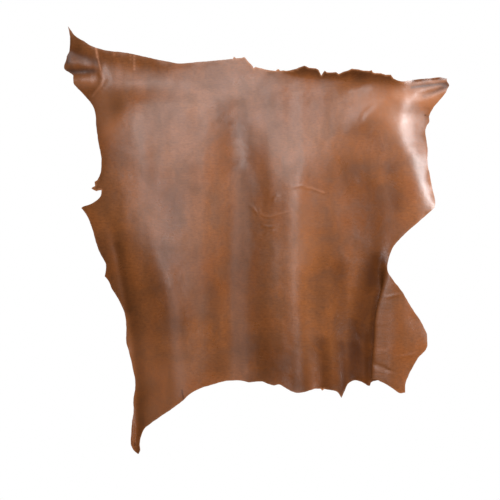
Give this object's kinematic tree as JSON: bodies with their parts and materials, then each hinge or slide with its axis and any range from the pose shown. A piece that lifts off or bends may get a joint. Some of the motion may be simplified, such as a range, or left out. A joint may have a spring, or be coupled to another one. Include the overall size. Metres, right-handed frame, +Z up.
{
  "type": "leather hide",
  "caption": "Whole untrimmed tanned hide in brown leather, hung by its upper corners in soft upright folds, with a torn top edge and a leg end.",
  "frame": {"origin": "middle of the top edge, on the line between the held upper corners", "axes": "+Z up, grain side facing -Y, +X to the right seen from the grain side"},
  "size_m": [0.9047, 0.0802, 0.998],
  "materials": {
    "leather": "semi-gloss dyed grain"
  },
  "bodies": {
    "root": {"hide": "leather"}
  },
  "joints": []
}
